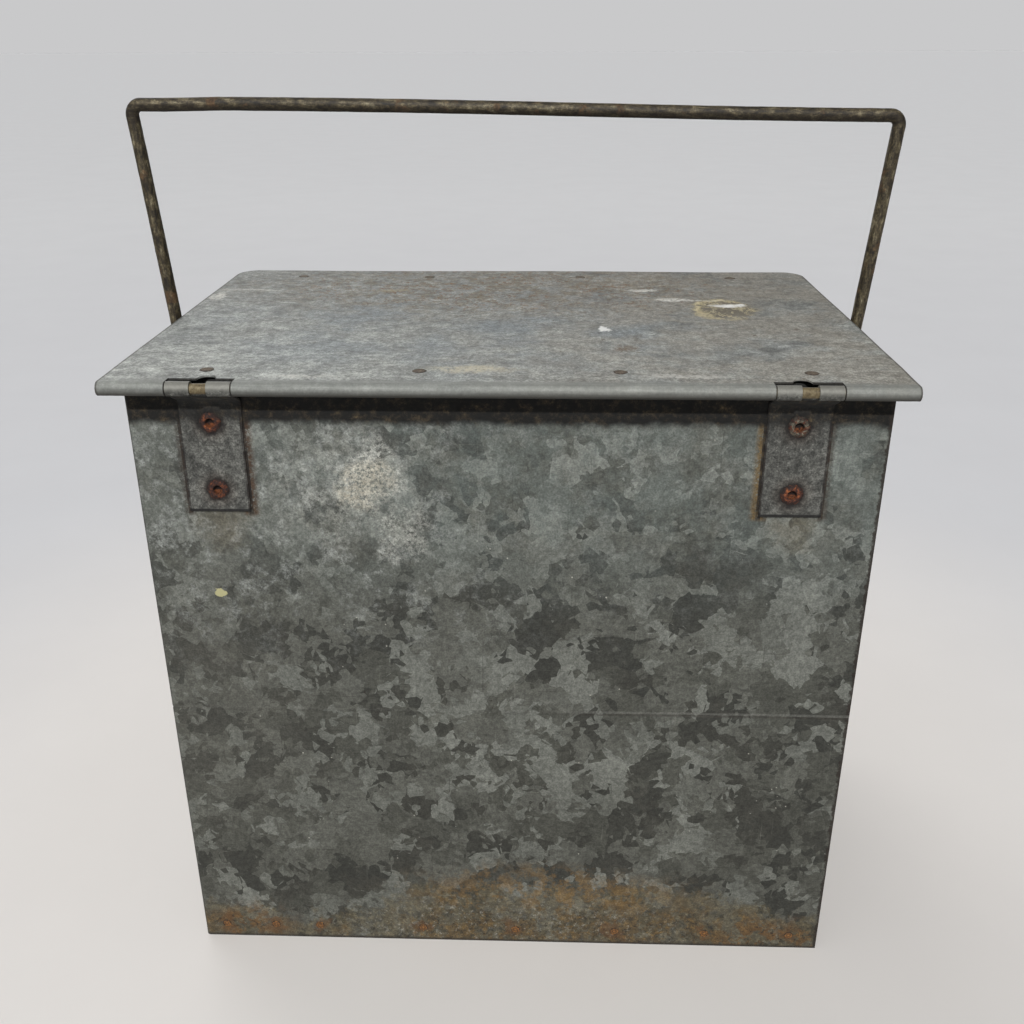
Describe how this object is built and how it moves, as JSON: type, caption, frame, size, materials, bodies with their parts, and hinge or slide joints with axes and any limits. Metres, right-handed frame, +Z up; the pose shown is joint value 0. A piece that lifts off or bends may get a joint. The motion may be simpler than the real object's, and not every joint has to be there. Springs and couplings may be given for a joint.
{
  "type": "insulated cooler chest",
  "caption": "Upright insulated chest of galvanised sheet steel with a metal liner, a flat overhanging lid hinged along its rear edge, and a bent-rod bail that swings over the lid.",
  "frame": {"origin": "centre of the base, on the floor", "axes": "+Z up, opening side towards -Y, hinges towards +Y, bail pivots along X"},
  "size_m": [0.3723, 0.2384, 0.4238],
  "materials": {
    "galvanised_sheet": "weathered hot-dip galvanising with large spangles, satin",
    "liner_sheet": "dull galvanised",
    "insulation": "matt fibrous board",
    "rusty_steel": "rusted",
    "bail_steel": "patchy brown rust"
  },
  "bodies": {
    "chest": {"outer_shell": "galvanised_sheet", "bottom_pan": "galvanised_sheet", "liner": "liner_sheet", "insulation_front": "insulation", "insulation_back": "insulation", "insulation_left": "insulation", "insulation_right": "insulation", "insulation_bottom": "insulation", "hinge_plate_left": "galvanised_sheet", "hinge_plate_right": "galvanised_sheet", "hinge_rivets_left": "rusty_steel", "hinge_rivets_right": "rusty_steel", "bail_ear_left": "galvanised_sheet", "bail_ear_right": "galvanised_sheet", "ear_rivets_left": "rusty_steel", "ear_rivets_right": "rusty_steel"},
    "lid": {"lid_skin": "galvanised_sheet", "lid_pan": "liner_sheet", "lid_insulation": "insulation", "hinge_wire": "bail_steel"},
    "bail": {"bail": "bail_steel", "bail_keeper_left": "rusty_steel", "bail_keeper_right": "rusty_steel"}
  },
  "joints": [
    {"name": "lid_hinge", "type": "hinge", "parent": "chest", "child": "lid", "pos_m": [0, 0.1161, 0.31435], "axis": [-1, 0, 0], "range_deg": [0, 38]},
    {"name": "bail_swing", "type": "hinge", "parent": "chest", "child": "bail", "pos_m": [0, 0, 0.276], "axis": [-1, 0, 0], "range_deg": [-128, 128]}
  ]
}
